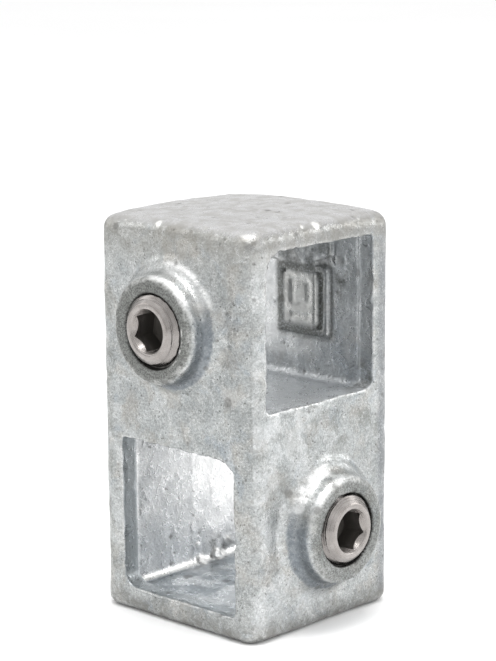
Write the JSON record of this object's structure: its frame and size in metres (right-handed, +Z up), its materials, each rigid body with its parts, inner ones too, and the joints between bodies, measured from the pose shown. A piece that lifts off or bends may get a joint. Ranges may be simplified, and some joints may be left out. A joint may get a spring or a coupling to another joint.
{
  "type": "square tube crossover clamp",
  "caption": "Cast crossover fitting that holds square tubes at right angles, one above the other, each in a through socket and gripped by a hexagon-socket set screw in a round side boss.",
  "frame": {"origin": "centre of the casting's flat underside", "axes": "+Z up through both sockets, +X along the upper socket and out of the lower screw's side, +Y along the lower socket, with the upper screw on the -Y side"},
  "size_m": [0.0415, 0.0409, 0.0688],
  "materials": {
    "galvanised_casting": "hot-dip galvanised, mottled semi-gloss",
    "stainless_screw": "turned stainless steel, satin"
  },
  "bodies": {
    "fitting": {"casting": "galvanised_casting"},
    "upper_screw_feed": {"upper_set_screw_point": "stainless_screw"},
    "upper_screw_turn": {"upper_set_screw": "stainless_screw"},
    "lower_screw_feed": {"lower_set_screw_point": "stainless_screw"},
    "lower_screw_turn": {"lower_set_screw": "stainless_screw"}
  },
  "joints": [
    {"name": "upper_screw_advance", "type": "slide", "parent": "fitting", "child": "upper_screw_feed", "axis": [0, 1, 0], "range_m": [-0.00613, 0.00351]},
    {"name": "upper_screw_rotate", "type": "hinge", "parent": "upper_screw_feed", "child": "upper_screw_turn", "pos_m": [0.0003, -0.02345, 0.05105], "axis": [0, 1, 0], "range_deg": [-1260, 720]},
    {"name": "lower_screw_advance", "type": "slide", "parent": "fitting", "child": "lower_screw_feed", "axis": [-1, 0, 0], "range_m": [-0.00613, 0.00351]},
    {"name": "lower_screw_rotate", "type": "hinge", "parent": "lower_screw_feed", "child": "lower_screw_turn", "pos_m": [0.0237, 0.0003, 0.0171], "axis": [-1, 0, 0], "range_deg": [-1260, 720]}
  ],
  "couplings": [
    {"joint": "upper_screw_advance", "follows": "upper_screw_rotate", "m_per_rad": 0.00027852},
    {"joint": "lower_screw_advance", "follows": "lower_screw_rotate", "m_per_rad": 0.00027852}
  ]
}
